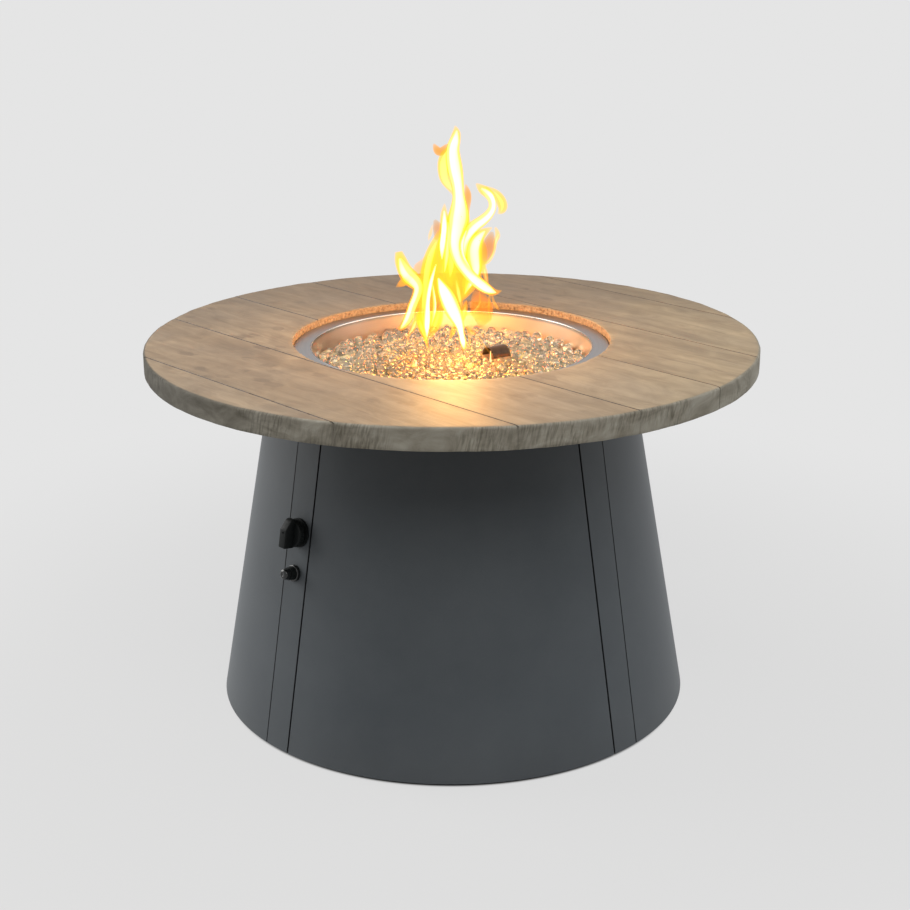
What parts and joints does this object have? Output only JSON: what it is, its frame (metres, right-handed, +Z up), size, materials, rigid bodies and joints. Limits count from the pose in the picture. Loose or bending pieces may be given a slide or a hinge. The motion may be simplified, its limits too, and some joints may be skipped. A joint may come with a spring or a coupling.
{
  "type": "gas fire pit table",
  "caption": "Round fire pit table: cast plank-look top on a tapered steel base, drop-in gas burner pan with glass gems, and a fuel cylinder behind a pull-off door.",
  "frame": {"origin": "on the floor, under the centre of the round top", "axes": "+Z up; the door faces -Y, so the control post is front left; +X to the right"},
  "size_m": [1.016, 1.016, 0.624],
  "materials": {
    "cast_top": "matte, weathered plank pattern",
    "powder_coat": "satin powder coat",
    "frame_steel": "satin",
    "zinc_fasteners": "zinc plated",
    "stainless": "satin",
    "hood_steel": "heat browned",
    "fibre_gasket": "fibre",
    "gem_glass": "clear, polished",
    "electrode_ceramic": "glazed",
    "thermocouple_copper": "bright",
    "brass_fittings": "turned",
    "control_plastic": "moulded",
    "battery_case": "gloss",
    "black_rubber": "moulded",
    "regulator_casting": "cast",
    "cylinder_paint": "gloss",
    "handwheel_plastic": "moulded"
  },
  "bodies": {
    "table": {"table_top": "cast_top", "post_front_left": "powder_coat", "post_front_right": "powder_coat", "post_rear_left": "powder_coat", "post_rear_right": "powder_coat", "left_panel": "powder_coat", "right_panel": "powder_coat", "rear_panel": "powder_coat", "top_ring": "frame_steel", "base_plate": "frame_steel", "tank_hoop": "frame_steel", "door_magnets": "frame_steel", "top_bolts": "zinc_fasteners", "panel_screws": "zinc_fasteners", "frame_bolts": "zinc_fasteners", "foot_nuts": "zinc_fasteners", "burner_locknut": "zinc_fasteners", "burner_pan": "stainless", "burner_ring": "stainless", "burner_nipple": "stainless", "igniter_bracket": "stainless", "burner_hose": "stainless", "igniter_hood": "hood_steel", "pan_gasket": "fibre_gasket", "glass_fill": "gem_glass", "glass_gems": "gem_glass", "spark_electrode": "electrode_ceramic", "thermocouple": "thermocouple_copper", "thermocouple_lead": "thermocouple_copper", "air_mixer": "brass_fittings", "gas_orifice": "brass_fittings", "control_valve": "brass_fittings", "tank_valve": "brass_fittings", "valve_bezel": "control_plastic", "igniter_housing": "control_plastic", "igniter_collar": "control_plastic", "igniter_nut": "control_plastic", "igniter_battery": "battery_case", "top_pads": "black_rubber", "supply_hose": "black_rubber", "spark_lead": "black_rubber", "regulator": "regulator_casting", "tank_body": "cylinder_paint", "tank_foot": "cylinder_paint", "tank_collar": "cylinder_paint"},
    "door": {"front_door": "powder_coat"},
    "stem_push": {"stem_spring_seat": "zinc_fasteners"},
    "knob": {"control_knob": "control_plastic", "valve_stem": "stainless"},
    "spark_button": {"igniter_button": "control_plastic"},
    "handwheel": {"tank_handwheel": "handwheel_plastic"},
    "coupling": {"coupling_nut": "control_plastic"},
    "foot_1": {"levelling_foot_1": "black_rubber"},
    "foot_2": {"levelling_foot_2": "black_rubber"},
    "foot_3": {"levelling_foot_3": "black_rubber"},
    "foot_4": {"levelling_foot_4": "black_rubber"}
  },
  "joints": [
    {"name": "door_pull", "type": "slide", "parent": "table", "child": "door", "axis": [0, -1, 0], "range_m": [0, 0.42]},
    {"name": "knob_push", "type": "slide", "parent": "table", "child": "stem_push", "axis": [0.6957, 0.6957, -0.1792], "range_m": [0, 0.004], "stiffness_N_per_m": 900, "springref_m": -0.006},
    {"name": "knob_turn", "type": "hinge", "parent": "stem_push", "child": "knob", "pos_m": [-0.24002, -0.24002, 0.366], "axis": [-0.6957, -0.6957, 0.1792], "range_deg": [0, 210]},
    {"name": "spark_press", "type": "slide", "parent": "table", "child": "spark_button", "axis": [0.6957, 0.6957, -0.1792], "range_m": [0, 0.0045], "stiffness_N_per_m": 700, "springref_m": -0.005},
    {"name": "handwheel_turn", "type": "hinge", "parent": "table", "child": "handwheel", "pos_m": [0, 0.14, 0.4375], "axis": [0, 0, 1], "range_deg": [0, 720]},
    {"name": "coupling_turn", "type": "hinge", "parent": "table", "child": "coupling", "pos_m": [0, 0.098, 0.3975], "axis": [0, -1, 0], "range_deg": [0, 1080]},
    {"name": "foot_1_screw", "type": "slide", "parent": "table", "child": "foot_1", "axis": [0, 0, -1], "range_m": [0, 0.01]},
    {"name": "foot_2_screw", "type": "slide", "parent": "table", "child": "foot_2", "axis": [0, 0, -1], "range_m": [0, 0.01]},
    {"name": "foot_3_screw", "type": "slide", "parent": "table", "child": "foot_3", "axis": [0, 0, -1], "range_m": [0, 0.01]},
    {"name": "foot_4_screw", "type": "slide", "parent": "table", "child": "foot_4", "axis": [0, 0, -1], "range_m": [0, 0.01]}
  ]
}
